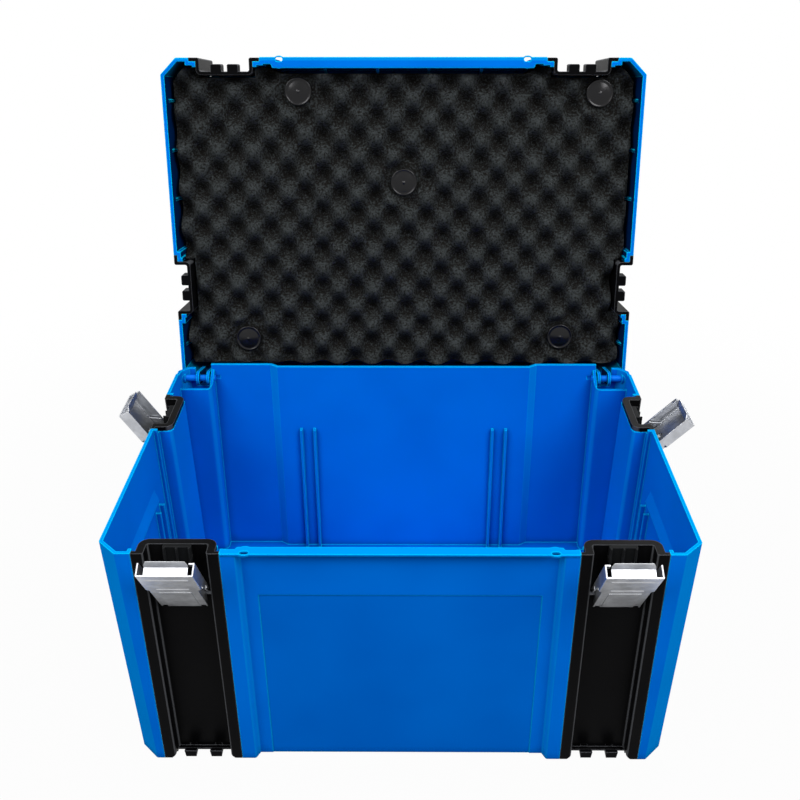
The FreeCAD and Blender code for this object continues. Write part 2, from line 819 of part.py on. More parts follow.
def lid_ribs():
    """Small gussets round the inside of the lid's rim."""
    ribs = []
    z0 = lid_base + rib_setback
    z1 = z0 + rib_height
    inner_front = front_y + panel_recess + lid_wall
    for x in front_rib_x:
        tri = [(inner_front - lid_wall / 2, z0), (inner_front + rib_reach, z1), (inner_front - lid_wall / 2, z1)]
        ribs += both_sides(profile_x(tri, x - rib_thick / 2, x + rib_thick / 2))
    inner_side = half_width - lid_wall
    for y in side_rib_y:
        tri = [(inner_side + lid_wall / 2, z0), (inner_side - rib_reach, z1), (inner_side + lid_wall / 2, z1)]
        ribs += both_sides(profile_y(tri, y - rib_thick / 2, y + rib_thick / 2))
    return ribs


def catch_reliefs():
    """Clearance behind each catch, where the shell stops short so that the foam can close up to it."""
    reach = channel_outer + seat_gap + lid_wall + seat_gap
    depth0 = rail_wall + seat_gap + foam_inset
    depth1 = rail_deep + foam_inset + lid_wall
    cuts = []
    for x in (-rail_x, rail_x):
        cuts.append(box(x - reach, x + reach, front_y + depth0, front_y + depth1, lid_base - past, foam_back))
    side = box(half_width - depth1, half_width - depth0, side_rail_y - reach, side_rail_y + reach,
               lid_base - past, foam_back)
    return cuts + both_sides(side)


def lid_block():
    """Outside of the lid as one solid."""
    block = solid_between(lift(lid_outline(lid_base), lid_base), lift(lid_outline(lid_top), lid_top))
    side = half_width - lid_draft
    back = lid_back_y - lid_draft
    corners = front_corners(lid_draft) + [(side, back - corner_cut), (side - corner_cut, back)]
    return soft_corners(block, lid_height, corners, corner_round)


def make_lid_shell():
    outer = lid_block()
    low = lid_base - past
    ceiling = lid_top - lid_wall
    cavity = solid_between(lift(inset_outline(lid_outline(low), lid_wall), low),
                           lift(inset_outline(lid_outline(ceiling), lid_wall), ceiling))
    well_wall = box(-well_half - lid_wall, well_half + lid_wall, well_front - lid_wall, well_back + lid_wall,
                    well_floor - lid_wall, lid_top)
    well = box(-well_half, well_half, well_front, well_back, well_floor, lid_top + past)
    posts = [rod(V(x, y, foam_back), V(0, 0, 1), button_post, lid_top - lid_wall / 2 - foam_back)
             for x, y in button_places]
    lip = seal_lip(front_y + panel_recess, lid_base, lid_base + lid_lip_thick)
    ears = []
    for x in ear_places:
        ears += both_sides(lid_ear(x))
    ribs = [outer.common(r) for r in lid_ribs()]
    shell = outer.cut(cavity).cut(catch_reliefs()).fuse([well_wall, lip] + posts + ears + ribs)
    stems = [rod(V(x, y, foam_back - past), V(0, 0, 1), button_stem + seat_gap, button_grip + past + seat_gap)
             for x, y in button_places]
    bores = both_sides(rod(V(column_x, hinge_y, hinge_z), V(1, 0, 0), hinge_pin_radius + hinge_run,
                           half_width - column_x))
    pivots = both_sides(rod(handle_pin_start(), V(1, 0, 0), handle_pin_radius + hinge_press, handle_pin_length()))
    return shell.cut([well] + stems + bores + pivots).removeSplitter()


def handle_pin_start():
    inner = well_half - handle_side_gap - handle_arm - handle_side_gap
    return V(inner, handle_pivot_y, lid_top - handle_pivot_drop)


def handle_pin_length():
    return well_half + lid_wall - handle_pin_start().x


def make_handle_pins():
    pin = rod(handle_pin_start(), V(1, 0, 0), handle_pin_radius, handle_pin_length())
    return Part.makeCompound(both_sides(pin))


def make_handle():
    """Folding bail: two arms on pins and a rounded grip between them."""
    pivot_z = lid_top - handle_pivot_drop
    outer_x = well_half - handle_side_gap
    inner_x = outer_x - handle_arm
    grip_y = handle_pivot_y + handle_span
    half = handle_thick / 2
    arm = box(inner_x, outer_x, handle_pivot_y, grip_y + half, pivot_z - half, pivot_z + half)
    eye = rod(V(inner_x, handle_pivot_y, pivot_z), V(1, 0, 0), handle_eye, handle_arm)
    grip = box(-outer_x, outer_x, grip_y - half, grip_y + half, pivot_z - half, pivot_z + half)
    long_edges = [e for e in grip.Edges if e.BoundBox.XLength > case_width / 10]
    grip = grip.makeFillet(handle_round, long_edges)
    handle = grip.fuse(both_sides(arm.fuse(eye)))
    bores = both_sides(rod(V(inner_x - past, handle_pivot_y, pivot_z), V(1, 0, 0),
                           handle_pin_radius + handle_run, handle_arm + 2 * past))
    return handle.cut(bores).removeSplitter()


def foam_outline():
    """Plan of the foam: cut corners, and a stepped notch that closes up to each catch."""
    lip = rail_half + seat_gap + lid_wall + foam_clear
    reach = channel_outer + foam_clear
    lip_deep = rail_wall + seat_gap + foam_inset + foam_clear / 2
    deep = rail_deep + foam_inset - lid_wall + foam_clear
    front = front_y + panel_recess + foam_inset + foam_front_gap
    tab = front_y + lip_deep
    corner_y = front_y + foam_inset + foam_gap
    notch_y = front_y + deep
    tab_x = half_width - lip_deep
    notch_x = half_width - deep
    half = [(panel_half - foam_front_gap, front), (rail_x - lip, tab), (rail_x - reach, tab),
            (rail_x - reach, notch_y), (rail_x + reach, notch_y), (rail_x + reach, tab), (rail_x + lip, tab),
            (foam_half - foam_corner, corner_y), (foam_half, corner_y + foam_corner),
            (foam_half, side_rail_y - lip), (tab_x, side_rail_y - lip), (tab_x, side_rail_y - reach),
            (notch_x, side_rail_y - reach), (notch_x, side_rail_y + reach), (tab_x, side_rail_y + reach),
            (tab_x, side_rail_y + lip), (foam_half, side_rail_y + lip),
            (foam_half, foam_back_y - foam_back_corner), (foam_half - foam_back_corner, foam_back_y)]
    return whole(half)


def foam_slits():
    """Slits in the sides of the foam for the lid's gussets."""
    inner = half_width - lid_wall - rib_reach - foam_clear
    slits = []
    for y in side_rib_y:
        slit = box(inner, half_width, y - rib_thick / 2 - foam_clear, y + rib_thick / 2 + foam_clear,
                   foam_peak - past, foam_back + past)
        slits += both_sides(slit)
    return slits


def foam_relief_solid():
    """Egg-crate slab: peaks and valleys alternate on a half-pitch grid."""
    step_x = foam_pitch_x / 2
    step_y = foam_pitch_y / 2
    across = int(foam_half / step_x) + 1
    first = math.floor(front_y / step_y)
    last = math.ceil(foam_back_y / step_y)

    def node(i, j):
        z = foam_peak if (i + j) % 2 == 0 else foam_valley
        return V(i * step_x, j * step_y, z)

    def ring(points):
        return Part.Face(Part.makePolygon(points + points[:1]))

    faces = []
    for i in range(-across, across):
        for j in range(first, last):
            a, b, c, d = node(i, j), node(i + 1, j), node(i + 1, j + 1), node(i, j + 1)
            if (i + j) % 2 == 0:
                faces += [ring([a, b, c]), ring([a, c, d])]
            else:
                faces += [ring([a, b, d]), ring([b, c, d])]
    x0 = -across * step_x
    x1 = across * step_x
    y0 = first * step_y
    y1 = last * step_y
    for j, y in ((first, y0), (last, y1)):
        faces.append(ring([node(i, j) for i in range(-across, across + 1)]
                          + [V(x1, y, foam_back), V(x0, y, foam_back)]))
    for i, x in ((-across, x0), (across, x1)):
        faces.append(ring([node(i, j) for j in range(first, last + 1)]
                          + [V(x, y1, foam_back), V(x, y0, foam_back)]))
    faces.append(ring([V(x0, y0, foam_back), V(x1, y0, foam_back), V(x1, y1, foam_back), V(x0, y1, foam_back)]))
    return closed_solid(faces)


def make_foam_pad():
    outline = foam_outline()
    trim = solid_between(lift(outline, foam_peak - past), lift(outline, foam_back))
    pad = foam_relief_solid().common(trim)
    holes = []
    for x, y in button_places:
        holes.append(rod(V(x, y, foam_peak - past), V(0, 0, 1), button_radius + seat_gap,
                         button_seat - foam_peak + past))
        holes.append(rod(V(x, y, foam_peak), V(0, 0, 1), button_stem + seat_gap, foam_back - foam_peak + past))
    return pad.cut(holes + foam_slits())


def make_foam_buttons():
    """Domed discs with a stem that snaps into a post of the lid."""
    buttons = []
    for x, y in button_places:
        disc = rod(V(x, y, button_seat - button_thick), V(0, 0, 1), button_radius, button_thick)
        reach = (button_radius ** 2 + button_dome ** 2) / (2 * button_dome)
        ball = Part.makeSphere(reach, V(x, y, button_seat - button_thick - button_dome + reach))
        keep = rod(V(x, y, button_seat - button_thick - button_dome), V(0, 0, 1), button_radius, button_dome)
        stem = rod(V(x, y, button_seat), V(0, 0, 1), button_stem, foam_back + button_grip - button_seat)
        buttons.append(disc.fuse([ball.common(keep), stem]).removeSplitter())
    return Part.makeCompound(buttons)


def at_rail(shape, name):
    """Move a piece from a rail's own frame to one of the four rails."""
    placed = shape.copy()
    if name == "left":
        placed.rotate(V(0, 0, 0), V(0, 0, 1), -90)
        placed.translate(V(-half_width, side_rail_y, 0))
    elif name == "right":
        placed.rotate(V(0, 0, 0), V(0, 0, 1), 90)
        placed.translate(V(half_width, side_rail_y, 0))
    else:
        placed.translate(V(rail_x if name == "front_right" else -rail_x, front_y, 0))
    return placed


def opened(shape):
    """Swing a piece of the lid from shut to its open stop."""
    swung = shape.copy()
    swung.rotate(V(0, hinge_y, hinge_z), V(1, 0, 0), -lid_open)
    return swung


def swung_latch(shape, name):
    """Swing a latch piece out from upright to the place where that latch stands open."""
    swung = shape.copy()
    swung.rotate(V(0, latch_pivot_in, latch_pivot_z), V(1, 0, 0), latch_open[name])
    return swung


def hanging(shape):
    """Swing the folded handle until it hangs straight down from the open lid."""
    swung = shape.copy()
    swung.rotate(V(0, handle_pivot_y, lid_top - handle_pivot_drop), V(1, 0, 0), lid_open - 90)
    return swung


def build():
    nodes = {"body_shell": make_body_shell()}
    pin = make_hinge_pin()
    nodes["right_hinge_pin"] = pin
    nodes["left_hinge_pin"] = mirrored(pin)
    rail = make_rail()
    block = make_block()
    block_pin = make_block_pin()
    pivot = make_pivot_pin()
    hook = make_hook()
    catch = make_catch()
    for name in ("front_left", "front_right", "left", "right"):
        nodes[name + "_rail"] = at_rail(rail, name)
        nodes[name + "_latch_block"] = at_rail(block, name)
        nodes[name + "_block_pin"] = at_rail(block_pin, name)
        nodes[name + "_latch_pin"] = at_rail(pivot, name)
        lever = make_lever(-1 if name == "front_right" else 1)
        nodes[name + "_latch_lever"] = at_rail(swung_latch(lever, name), name)
        nodes[name + "_latch_hook"] = at_rail(swung_latch(hook, name), name)
        nodes[name + "_lid_catch"] = opened(at_rail(catch, name))
    nodes["lid_shell"] = opened(make_lid_shell())
    nodes["foam_pad"] = opened(make_foam_pad())
    nodes["foam_buttons"] = opened(make_foam_buttons())
    nodes["carry_handle"] = opened(hanging(make_handle()))
    nodes["handle_pins"] = opened(make_handle_pins())
    return nodes


os.makedirs("parts", exist_ok=True)
for node_name, node_shape in build().items():
    node_shape.exportStep("parts/" + node_name + ".step")
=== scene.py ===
import json
import math

import bmesh
import bpy
from mathutils import Matrix, Vector


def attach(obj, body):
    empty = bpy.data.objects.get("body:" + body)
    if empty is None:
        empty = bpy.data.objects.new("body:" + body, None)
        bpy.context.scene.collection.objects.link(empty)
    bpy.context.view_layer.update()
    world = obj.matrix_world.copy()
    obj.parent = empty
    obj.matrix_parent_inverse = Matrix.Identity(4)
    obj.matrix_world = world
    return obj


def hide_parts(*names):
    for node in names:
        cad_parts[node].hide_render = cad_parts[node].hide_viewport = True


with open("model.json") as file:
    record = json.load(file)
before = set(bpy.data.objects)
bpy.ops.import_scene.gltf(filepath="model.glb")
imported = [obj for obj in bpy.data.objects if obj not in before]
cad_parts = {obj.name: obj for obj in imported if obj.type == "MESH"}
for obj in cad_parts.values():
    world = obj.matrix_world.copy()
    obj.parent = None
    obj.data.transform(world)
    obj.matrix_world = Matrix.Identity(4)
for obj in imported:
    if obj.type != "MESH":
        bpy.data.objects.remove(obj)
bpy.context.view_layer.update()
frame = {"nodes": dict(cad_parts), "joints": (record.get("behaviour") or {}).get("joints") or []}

nodes = frame["nodes"]


# Case: a deep tub moulded in one shot from blue polypropylene, with a fine spark-eroded grain.
# Its edges carry a painted highlight mixed with scuffed wear, its crevices a painted shade, the label field
# on the front is a shade duller, and the top of the rim, which the lid sits on, carries a stronger painted
# highlight.
class Wire:
    """One link in a node tree: arithmetic on it adds Math nodes."""

    def __init__(self, tree, socket=None):
        self.tree = tree
        self.socket = socket

    def node(self, kind, settings=None, sockets=None, out=0):
        """One output of a new node, which has these settings, and these values or links on its sockets."""
        made = self.tree.nodes.new(kind)
        for name, value in (settings or {}).items():
            setattr(made, name, value)
        for name, value in (sockets or {}).items():
            for one in value if isinstance(value, list) else [value]:
                if isinstance(one, Wire):
                    self.tree.links.new(one.socket, made.inputs[name])
                else:
                    made.inputs[name].default_value = one
        return Wire(self.tree, made.outputs[out] if len(made.outputs) else None)

    def at(self, out):
        """Another output of the same node."""
        return Wire(self.tree, self.socket.node.outputs[out])

    def maths(self, operation, first, second=0.0):
        return self.node("ShaderNodeMath", {"operation": operation}, {0: first, 1: second})

    def __add__(self, other):
        return self.maths("ADD", self, other)

    def __radd__(self, other):
        return self.maths("ADD", other, self)

    def __sub__(self, other):
        return self.maths("SUBTRACT", self, other)

    def __rsub__(self, other):
        return self.maths("SUBTRACT", other, self)

    def __mul__(self, other):
        return self.maths("MULTIPLY", self, other)

    def __rmul__(self, other):
        return self.maths("MULTIPLY", other, self)

    def __truediv__(self, other):
        return self.maths("DIVIDE", self, other)

    def __lt__(self, other):
        return self.maths("LESS_THAN", self, other)

    def __gt__(self, other):
        return self.maths("GREATER_THAN", self, other)

    def __abs__(self):
        return self.maths("ABSOLUTE", self)

    def axes(self):
        """The three parts of this vector."""
        split = self.node("ShaderNodeSeparateXYZ", {}, {0: self})
        return split, split.at(1), split.at(2)

    def step(self, low, high):
        """0 below low, 1 above high, with a soft shoulder."""
        return self.node("ShaderNodeMapRange", {"interpolation_type": "SMOOTHSTEP"},
                         {"Value": self, "From Min": low, "From Max": high})

    def mix(self, first, second):
        """Colour from first to second as this value goes from 0 to 1."""
        return self.node("ShaderNodeMix", {"data_type": "RGBA"}, {0: self, 6: first, 7: second}, out=2)


def srgb(*steps):
    """A colour given in eight-bit steps, as the linear colour that a shader takes."""
    shares = [step / 255 for step in steps]
    linear = [share / 12.92 if share < 0.04045 else ((share + 0.055) / 1.055) ** 2.4 for share in shares]
    return (*linear, 1.0)


def finish_for(name):
    """A new material's empty sheet of nodes, and its object coordinates in metres."""
    material = bpy.data.materials.new(name)
    material.use_nodes = True
    material.node_tree.nodes.clear()
    sheet = Wire(material.node_tree)
    return material, sheet, sheet.node("ShaderNodeTexCoord", out="Object")


def speckle(place, size, detail=2.0, rough=0.5):
    """Soft noise with blobs of about this size in metres."""
    return place.node("ShaderNodeTexNoise", {}, {"Vector": place, "Scale": 0.5 / size, "Detail": detail,
                                                 "Roughness": rough}, out="Fac")


def rounded(sheet, radius):
    """Normal that rolls over every sharp edge, and how much of an edge each point is."""
    soft = sheet.node("ShaderNodeBevel", {"samples": 6}, {"Radius": radius})
    flat = sheet.node("ShaderNodeNewGeometry", out="Normal")
    facing = sheet.node("ShaderNodeVectorMath", {"operation": "DOT_PRODUCT"}, {0: soft, 1: flat}, out="Value")
    return soft, (1.0 - facing).step(0.004, 0.14)


def close(sheet, fixed, varying):
    """The finished surface: values that are the same all over, and those that nodes vary."""
    shader = sheet.node("ShaderNodeBsdfPrincipled", {}, {**fixed, **varying})
    sheet.node("ShaderNodeOutputMaterial", {}, {"Surface": shader})


def moulded(name, deep, pale, edge_highlight, edge_highlight_share, roughness, grain_size, grain_depth, radius, gloss_tint,
            gloss_level, haze=0.0, painted_shade_reach=0.0, painted_shade_share=0.0, local_tones=None, turn_highlight_share=0.0):
    """Moulded plastic: a grained skin, slow drift of colour, painted highlights on edges and half-turned
    faces with some scuffed wear, and painted shade in crevices.
    """
    material, sheet, place = finish_for(name)
    drift = speckle(place, size=0.045)
    grain = speckle(place, size=grain_size, detail=3.0, rough=0.62)
    scuff = speckle(place, size=0.006, detail=4.0, rough=0.7).step(0.52, 0.74)
    soft, rim = rounded(sheet, radius)
    body = drift.step(0.3, 0.72).mix(deep, pale)
    if painted_shade_share:
        # Painted shade: the colour darkens toward navy where the ambient occlusion finds little open sky, in
        # crevices and recesses.
        open_sky = sheet.node("ShaderNodeAmbientOcclusion", {"samples": 6},
                              {"Distance": painted_shade_reach}, out="AO")
        body = ((1.0 - open_sky).step(0.12, 0.5) * painted_shade_share).mix(body, srgb(0, 14, 80))
    highlight_and_wear = edge_highlight_share + 0.25 * scuff
    if local_tones:
        body, highlight_and_wear = local_tones(place, body, highlight_and_wear, edge_highlight)
    if turn_highlight_share:
        # A painted highlight, most on faces that are turned half sideways, such as the cut corners and
        # fillets.
        across = place.at("Normal").axes()[0]
        turn = 2.0 * abs(across) * across.maths("SQRT", 1.0 - across * across)
        body = (turn_highlight_share * turn.step(0.35, 0.95)).mix(body, edge_highlight)
    # Painted highlight: sharp edges turn toward the pale edge colour, mixed with scuffed wear.
    colour = (rim * highlight_and_wear).mix(body, edge_highlight)
    gloss = roughness + 0.10 * (grain - 0.5) + 0.05 * scuff - 0.07 * rim
    bumpy = sheet.node("ShaderNodeBump", {}, {"Strength": 0.35, "Distance": grain_depth, "Height": grain,
                                              "Normal": soft})
    close(sheet, {"Specular Tint": gloss_tint, "Specular IOR Level": gloss_level, "Sheen Weight": haze,
                  "Sheen Roughness": 0.45, "Sheen Tint": gloss_tint},
          {"Base Color": colour, "Roughness": gloss, "Normal": bumpy})
    return material


def dress(names, material):
    """Give these solids this finish alone."""
    for name in names:
        mesh = nodes[name].data
        mesh.materials.clear()
        mesh.materials.append(material)


def blue_moulding(name, haze, painted_shade_reach, painted_shade_share, local_tones):
    """The blue polypropylene, with what differs between the case and the lid."""
    # The pale cyan edge colour is a painted highlight on edges, cut corners and the rim top.
    return moulded(name, deep=srgb(0, 96, 202), pale=srgb(0, 104, 212), edge_highlight=srgb(0, 205, 246),
                   edge_highlight_share=0.9, roughness=0.50, grain_size=0.0007, grain_depth=0.00016, radius=0.0015,
                   gloss_tint=(0.0, 0.45, 1.0, 1.0), gloss_level=0.0, haze=haze, turn_highlight_share=0.14,
                   painted_shade_reach=painted_shade_reach, painted_shade_share=painted_shade_share, local_tones=local_tones)


def case_tones(place, body, highlight_and_wear, edge_highlight):
    """A duller label field on the front, a painted highlight along the top of the rim, and edge highlights
    painted stronger on faces that look up.
    """
    label_half, label_top, label_front, label_share = 0.0946, 0.1515, -0.1, 0.16
    crown_low, crown_highlight_share = 0.1885, 0.18
    across, along, height = place.axes()
    upward = place.at("Normal").axes()[2].step(0.3, 0.9)
    label = (abs(across) < label_half) * (height < label_top) * (along < label_front)
    body = (label_share * label).mix(body, srgb(0, 40, 110))
    # Painted highlight: the rim top is mixed toward the pale edge colour, and edge highlights are weaker on
    # faces that do not look up.
    crown = (height > crown_low) * upward
    return (crown_highlight_share * crown).mix(body, edge_highlight), highlight_and_wear * (0.5 + 0.5 * upward)


case_blue = blue_moulding("blue_polypropylene", haze=0.28, painted_shade_reach=0.010, painted_shade_share=0.4,
                          local_tones=case_tones)
dress(["body_shell"], case_blue)

# Rails: four hat-section strips of black glass-filled nylon, pushed into seats in the case's walls.
# The three-ribbed latch blocks at their tops are the same stock, with a duller skin.
rail_names = ["front_left", "front_right", "left", "right"]
nylon_skin = {"grain_size": 0.0005, "grain_depth": 0.00012, "radius": 0.0010,
              "gloss_tint": (0.7, 0.7, 0.72, 1.0), "gloss_level": 0.03}
# The grey edge colour, on edges and on half-turned fillets, is a painted highlight with some scuffed wear.
black = moulded("black_nylon", deep=srgb(4, 4, 5), pale=srgb(8, 8, 9), edge_highlight=srgb(96, 98, 102),
                edge_highlight_share=0.6, roughness=0.38, turn_highlight_share=0.5, **nylon_skin)
block_black = moulded("black_nylon_block", deep=srgb(14, 15, 16), pale=srgb(19, 20, 21),
                      edge_highlight=srgb(70, 72, 75), edge_highlight_share=0.25, roughness=0.45, **nylon_skin)
dress([n + "_rail" for n in rail_names], black)
dress([n + "_latch_block" for n in rail_names], block_black)


# Latches: a folded cover and a hook plate of zinc-plated sheet steel, on pressed-in pins of darker steel.
# The plating shows fine drawing lines along the strip and a faint cloudy spangle.
def plated_steel(name, tone, roughness):
    """Plated sheet whose darkest cloud has this grey tone in eight-bit steps."""
    material, sheet, place = finish_for(name)
    drawn = sheet.node("ShaderNodeMapping", {}, {"Vector": place, "Scale": (0.10, 1.0, 1.0)})
    lines = speckle(drawn, size=0.00028, detail=2.0, rough=0.6)
    cloud = speckle(place, size=0.004, detail=3.0, rough=0.6)
    rubbed = speckle(place, size=0.0016, detail=3.0, rough=0.7).step(0.56, 0.8)
    soft, rim = rounded(sheet, radius=0.0005)
    dark, lift = (tone, tone + 2, tone + 6), 22
    body = cloud.step(0.3, 0.75).mix(srgb(*dark), srgb(*[step + lift for step in dark]))
    # Sharp edges are painted paler as a highlight; the rubbed specks mixed in with them are wear.
    colour = (0.25 * rim + 0.25 * rubbed).mix(body, srgb(238, 240, 243))
    gloss = roughness + 0.16 * (lines - 0.5) + 0.10 * (cloud - 0.5) - 0.06 * rim
    bumpy = sheet.node("ShaderNodeBump", {}, {"Strength": 0.18, "Distance": 0.00006, "Height": lines,
                                              "Normal": soft})
    close(sheet, {"Metallic": 1.0}, {"Base Color": colour, "Roughness": gloss, "Normal": bumpy})
    return material


steel = plated_steel("zinc_plated_steel", tone=178, roughness=0.38)
pin_steel = plated_steel("dark_pin_steel", tone=62, roughness=0.38)
dress([n + part for n in rail_names for part in ("_latch_lever", "_latch_hook")], steel)
dress([n + part for n in rail_names for part in ("_latch_pin", "_block_pin")], pin_steel)

# Hinge pins: smooth blue acetal rods in the back corners, which the lid's ears turn on.
# They have no grain and a rounder shine than the case.
# The light blue edge colour is a painted highlight, mixed with some scuffed wear.
acetal = moulded("blue_acetal", deep=srgb(0, 96, 205), pale=srgb(2, 112, 222), edge_highlight=srgb(70, 180, 255),
                 edge_highlight_share=0.4, roughness=0.26, grain_size=0.0004, grain_depth=0.00003, radius=0.0006,
                 gloss_tint=(0.1, 0.5, 1.0, 1.0), gloss_level=0.3)
dress(["left_hinge_pin", "right_hinge_pin"], acetal)

# Lid: a shallow blue tray of the same moulding, standing open on its hinge. Its inner side walls carry a
# painted shade, and a painted highlight lies on its rim face, stronger along the seal lip at its front edge.
# Black catches of rail section close the gaps in its rim, with the teeth that the hooks grip.
lid_hinge = next(joint for joint in frame["joints"] if joint["name"] == "lid_hinge")
hinge_place = Vector(lid_hinge["pos_m"])
shut_angle = math.radians(lid_hinge["range_deg"][1])
swing = (Matrix.Translation(hinge_place) @ Matrix.Rotation(-shut_angle, 4, "X")
         @ Matrix.Translation(-hinge_place))


def lid_tones(place, body, highlight_and_wear, edge_highlight):
    """Painted shade on the inner side walls, and a painted highlight on the rim face, stronger along the seal
    lip.
    """
    inner_wall_shade_share, rim_highlight_share, lip_highlight_share = 0.92, 0.03, 0.17
    lip_low = 0.4402
    across, _, height = place.axes()
    facing_x, facing_y, facing_z = place.at("Normal").axes()
    # A side wall's inner face looks back to the middle, so its place and its direction differ in sign.
    inward = (0.02 - across * facing_x).step(0.06, 0.14)
    # Painted shade on the lid's inner side walls.
    body = (inner_wall_shade_share * inward).mix(body, srgb(0, 6, 44))
    # Painted highlight on the rim face, stronger along the seal lip.
    rim_way = swing.to_3x3() @ Vector((0.0, 0.0, -1.0))
    rim_face = (rim_way.z * facing_z + rim_way.y * facing_y).step(0.8, 0.95)
    return (rim_face * (rim_highlight_share + lip_highlight_share * (height > lip_low))).mix(body, edge_highlight), highlight_and_wear


lid_blue = blue_moulding("blue_polypropylene_lid", haze=0.04, painted_shade_reach=0.030, painted_shade_share=0.3,
                         local_tones=lid_tones)
dress(["lid_shell"], lid_blue)
dress([n + "_lid_catch" for n in rail_names], black)

# Carrying handle: a black nylon bail that folds into the lid's top, on two steel pins.
# Its grip is more coarsely grained than the rails.
# The grey edge colour is a painted highlight, mixed with some scuffed wear.
grip_nylon = moulded("handle_nylon", deep=srgb(20, 20, 22), pale=srgb(28, 28, 30), edge_highlight=srgb(80, 80, 84),
                     edge_highlight_share=0.4, roughness=0.48, grain_size=0.0009, grain_depth=0.0003, radius=0.0010,
                     gloss_tint=(0.4, 0.4, 0.42, 1.0), gloss_level=0.3)
dress(["carry_handle"], grip_nylon)
dress(["handle_pins"], steel)

# Foam: a charcoal egg-crate pad cut from open-cell polyurethane, notched round the lid's catches and
# slit at its gussets. Five buttons hold it, and the foam is drawn in round each of them.
# It is shaped as it lies in the shut lid, then swung open with it.
button_places = [(-0.0872, -0.1119), (0.1627, -0.1106), (0.0004, -0.038), (-0.1386, 0.0994), (0.1394, 0.0975)]
pad_side, pad_back = 0.19058, 0.1215
lip_half, lip_edge = 0.101, -0.12598
front_corner_edge, front_corner_cut, back_corner_cut = -0.13158, 0.0117, 0.003
front_catch_x, side_catch_y = 0.1453, 0.051
catch_half, shoulder_half = 0.02385, 0.03245
catch_front_edge, shoulder_front_edge = -0.12288, -0.13083
catch_side_edge, shoulder_side_edge = 0.18188, 0.18983
slit_half, slit_end = 0.0018, 0.1892
front_gussets, back_gusset = (-0.1046, -0.0643, -0.0239), 0.1039
pad_low, pad_high = 0.19, 0.2297


def slit(y):
    """The cut in the pad's side edge where a gusset of the lid stands."""
    near, far = y - slit_half, y + slit_half
    return [(pad_side, near), (slit_end, near), (slit_end, far), (pad_side, far)]


def pad_right_half():
    """Outline of the right half, from the middle of the front edge to the back corner."""
    inner, outer = front_catch_x - catch_half, front_catch_x + catch_half
    near, far = side_catch_y - catch_half, side_catch_y + catch_half
    points = [(lip_half, lip_edge), (front_catch_x - shoulder_half, shoulder_front_edge),
              (inner, shoulder_front_edge), (inner, catch_front_edge), (outer, catch_front_edge),
              (outer, shoulder_front_edge), (front_catch_x + shoulder_half, shoulder_front_edge),
              (pad_side - front_corner_cut, front_corner_edge),
              (pad_side, front_corner_edge + front_corner_cut)]
    for y in front_gussets:
        points += slit(y)
    points += [(pad_side, side_catch_y - shoulder_half), (shoulder_side_edge, side_catch_y - shoulder_half),
               (shoulder_side_edge, near), (catch_side_edge, near), (catch_side_edge, far),
               (shoulder_side_edge, far), (shoulder_side_edge, side_catch_y + shoulder_half),
               (pad_side, side_catch_y + shoulder_half)]
    points += slit(back_gusset)
    points += [(pad_side, pad_back - back_corner_cut), (pad_side - back_corner_cut, pad_back)]
    return points


def link(name, data):
    """A new object in the scene, at the origin."""
    piece = bpy.data.objects.new(name, data)
    bpy.context.scene.collection.objects.link(piece)
    return piece


def prism(name, outline, low, high):
    """Closed block over a flat outline that runs anticlockwise."""
    form = bmesh.new()
    floor = form.faces.new([form.verts.new((x, y, low)) for x, y in outline])
    raised = bmesh.ops.extrude_face_region(form, geom=[floor])
    top = [v for v in raised["geom"] if isinstance(v, bmesh.types.BMVert)]
    bmesh.ops.translate(form, vec=(0, 0, high - low), verts=top)
    bmesh.ops.recalc_face_normals(form, faces=form.faces)
    mesh = bpy.data.meshes.new(name)
    form.to_mesh(mesh)
    form.free()
    return link(name, mesh)


def new_tree(name, sizes, objects=()):
    """An empty tree of geometry nodes, and a node that gives its named inputs."""
    tree = bpy.data.node_groups.new(name, "GeometryNodeTree")
    for size in sizes:
        tree.interface.new_socket(size, in_out="INPUT", socket_type="NodeSocketFloat")
    for thing in objects:
        tree.interface.new_socket(thing, in_out="INPUT", socket_type="NodeSocketObject")
    tree.interface.new_socket("Geometry", in_out="OUTPUT", socket_type="NodeSocketGeometry")
    return Wire(tree), Wire(tree).node("NodeGroupInput")


def grown(name, tree, values):
    """Run a tree of geometry nodes with these inputs, and keep its result as a plain mesh."""
    seed = link(name + "_seed", bpy.data.meshes.new(name + "_seed"))
    modifier = seed.modifiers.new(name, "NODES")
    modifier.node_group = tree
    for item in tree.interface.items_tree:
        if item.in_out == "INPUT" and item.name in values:
            modifier[item.identifier] = values[item.name]
    bpy.context.view_layer.update()
    mesh = bpy.data.meshes.new_from_object(seed.evaluated_get(bpy.context.evaluated_depsgraph_get()))
    mesh.name = name
    bpy.data.objects.remove(seed)
    return link(name, mesh)


def foam_finish():
    """Open cells: painted shade darkens the hollows and leaves the crests pale, with fine grain and pale
    specks.
    """
    material, sheet, place = finish_for("charcoal_foam")
    cells = sheet.node("ShaderNodeTexVoronoi", {"feature": "SMOOTH_F1"},
                       {"Vector": place, "Scale": 900.0, "Smoothness": 0.4}, out="Distance")
    dust = speckle(place, size=0.0009, detail=1.0, rough=0.6)
    patch = speckle(place, size=0.016, detail=2.0, rough=0.6)
    spark = speckle(place, size=0.0006, detail=1.0, rough=0.5).step(0.62, 0.74)
    crest = sheet.node("ShaderNodeAttribute", {"attribute_name": "crest"}, out="Fac")
    # Painted shade: the colour darkens from the crests down into the hollows, following the stored crest
    # height.
    tone = 0.08 + 0.62 * crest.step(0.25, 0.9) + 0.7 * (patch - 0.5) * crest + 3.4 * (dust - 0.5)
    colour = (0.10 * spark).mix(tone.mix(srgb(5, 4, 2), srgb(45, 49, 50)), srgb(150, 153, 157))
    bumpy = sheet.node("ShaderNodeBump", {}, {"Strength": 0.7, "Distance": 0.0007,
                                              "Height": cells + 0.8 * dust})
    close(sheet, {"Specular IOR Level": 0.15},
          {"Base Color": colour, "Roughness": 0.86 + 0.12 * dust, "Normal": bumpy})
    return material


